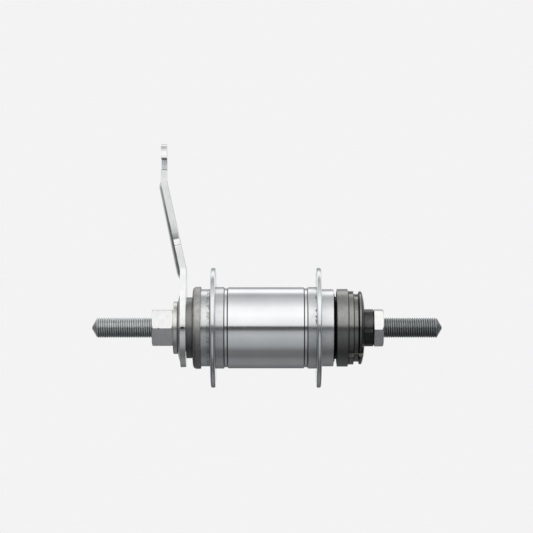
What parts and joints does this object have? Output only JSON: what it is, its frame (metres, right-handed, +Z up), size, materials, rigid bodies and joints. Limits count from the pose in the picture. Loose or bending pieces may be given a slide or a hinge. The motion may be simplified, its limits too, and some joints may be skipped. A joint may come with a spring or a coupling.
{
  "type": "coaster brake hub",
  "caption": "Rear bicycle hub with a back-pedal brake: flanged shell on a fixed axle, brake arm at the left end, sprocket driver at the right end.",
  "frame": {"origin": "on the axle, midway between the outer faces of the two locknuts", "axes": "+Y along the axle to the brake arm's end, which is a bicycle's left side; +Z up, the way the brake arm stands; +X away from the picture's camera"},
  "size_m": [0.0571, 0.1664, 0.1159],
  "materials": {
    "axle_steel": "dark oiled steel thread",
    "zinc_nut": "bright zinc plate",
    "zinc_washer": "bright zinc plate",
    "zinc_arm": "bright zinc plate over pressed steel",
    "phosphated_steel": "grey phosphated steel, ground races",
    "grey_cap": "matte grey phosphate",
    "black_oxide": "black oxide",
    "bright_shell": "polished bright plate",
    "bright_flange": "bright plate over pressed steel",
    "ball_steel": "polished bearing steel",
    "cage_steel": "pressed steel with a yellow tint",
    "driver_steel": "dark brown-grey heat-treated steel",
    "brown_cap": "matte brown-black",
    "hardened_steel": "hardened steel, greased",
    "spring_wire": "spring wire",
    "shoe_metal": "phosphated brake metal"
  },
  "bodies": {
    "axle_set": {"axle": "axle_steel", "arm_locknut": "zinc_nut", "arm_washer": "zinc_washer", "brake_arm": "zinc_arm", "brake_cone": "phosphated_steel", "left_dust_cap": "grey_cap", "right_cone": "black_oxide", "cone_dust_cap": "black_oxide", "right_locknut": "zinc_nut"},
    "shell": {"hub_shell": "bright_shell", "flange_left": "bright_flange", "flange_right": "bright_flange"},
    "left_bearing": {"left_balls": "ball_steel", "left_ball_cage": "cage_steel"},
    "drive_bearing": {"drive_balls": "ball_steel", "drive_ball_cage": "cage_steel"},
    "right_bearing": {"right_balls": "ball_steel", "right_ball_cage": "cage_steel"},
    "driver": {"driver": "driver_steel", "driver_dust_cap": "brown_cap"},
    "clutch": {"clutch_cone": "hardened_steel"},
    "drag_spring": {"clutch_spring": "spring_wire"},
    "shoe_1": {"brake_shoe_1": "shoe_metal"},
    "shoe_2": {"brake_shoe_2": "shoe_metal"},
    "shoe_3": {"brake_shoe_3": "shoe_metal"},
    "shoe_4": {"brake_shoe_4": "shoe_metal"}
  },
  "joints": [
    {"name": "shell_spin", "type": "hinge", "parent": "axle_set", "child": "shell", "pos_m": [0, 0, 0], "axis": [0, 1, 0], "continuous": true},
    {"name": "left_bearing_roll", "type": "hinge", "parent": "axle_set", "child": "left_bearing", "pos_m": [0, 0, 0], "axis": [0, 1, 0], "continuous": true},
    {"name": "pedal_spin", "type": "hinge", "parent": "axle_set", "child": "drive_bearing", "pos_m": [0, 0, 0], "axis": [0, 1, 0], "continuous": true},
    {"name": "right_bearing_roll", "type": "hinge", "parent": "axle_set", "child": "right_bearing", "pos_m": [0, 0, 0], "axis": [0, 1, 0], "continuous": true},
    {"name": "back_pedal", "type": "hinge", "parent": "drive_bearing", "child": "driver", "pos_m": [0, 0, 0], "axis": [0, 1, 0], "range_deg": [-37.5, 13.5]},
    {"name": "clutch_travel", "type": "slide", "parent": "drive_bearing", "child": "clutch", "axis": [0, -1, 0], "range_m": [-0.0024, 0.0008]},
    {"name": "spring_travel", "type": "slide", "parent": "axle_set", "child": "drag_spring", "axis": [0, -1, 0], "range_m": [-0.0025, 0.0009]},
    {"name": "shoe_1_spread", "type": "slide", "parent": "axle_set", "child": "shoe_1", "axis": [0, 0.9397, 0.342], "range_m": [-0.0005, 0.0014]},
    {"name": "shoe_2_spread", "type": "slide", "parent": "axle_set", "child": "shoe_2", "axis": [0.342, 0.9397, 0], "range_m": [-0.0005, 0.0014]},
    {"name": "shoe_3_spread", "type": "slide", "parent": "axle_set", "child": "shoe_3", "axis": [0, 0.9397, -0.342], "range_m": [-0.0005, 0.0014]},
    {"name": "shoe_4_spread", "type": "slide", "parent": "axle_set", "child": "shoe_4", "axis": [-0.342, 0.9397, 0], "range_m": [-0.0005, 0.0014]}
  ],
  "couplings": [
    {"joint": "left_bearing_roll", "follows": "shell_spin", "ratio": 0.557},
    {"joint": "right_bearing_roll", "follows": "pedal_spin", "ratio": 0.584},
    {"joint": "back_pedal", "follows": "clutch_travel", "rad_per_m": 261.8},
    {"joint": "spring_travel", "follows": "clutch_travel", "ratio": 1},
    {"joint": "shoe_1_spread", "follows": "clutch_travel", "ratio": -0.53209},
    {"joint": "shoe_2_spread", "follows": "clutch_travel", "ratio": -0.53209},
    {"joint": "shoe_3_spread", "follows": "clutch_travel", "ratio": -0.53209},
    {"joint": "shoe_4_spread", "follows": "clutch_travel", "ratio": -0.53209}
  ]
}
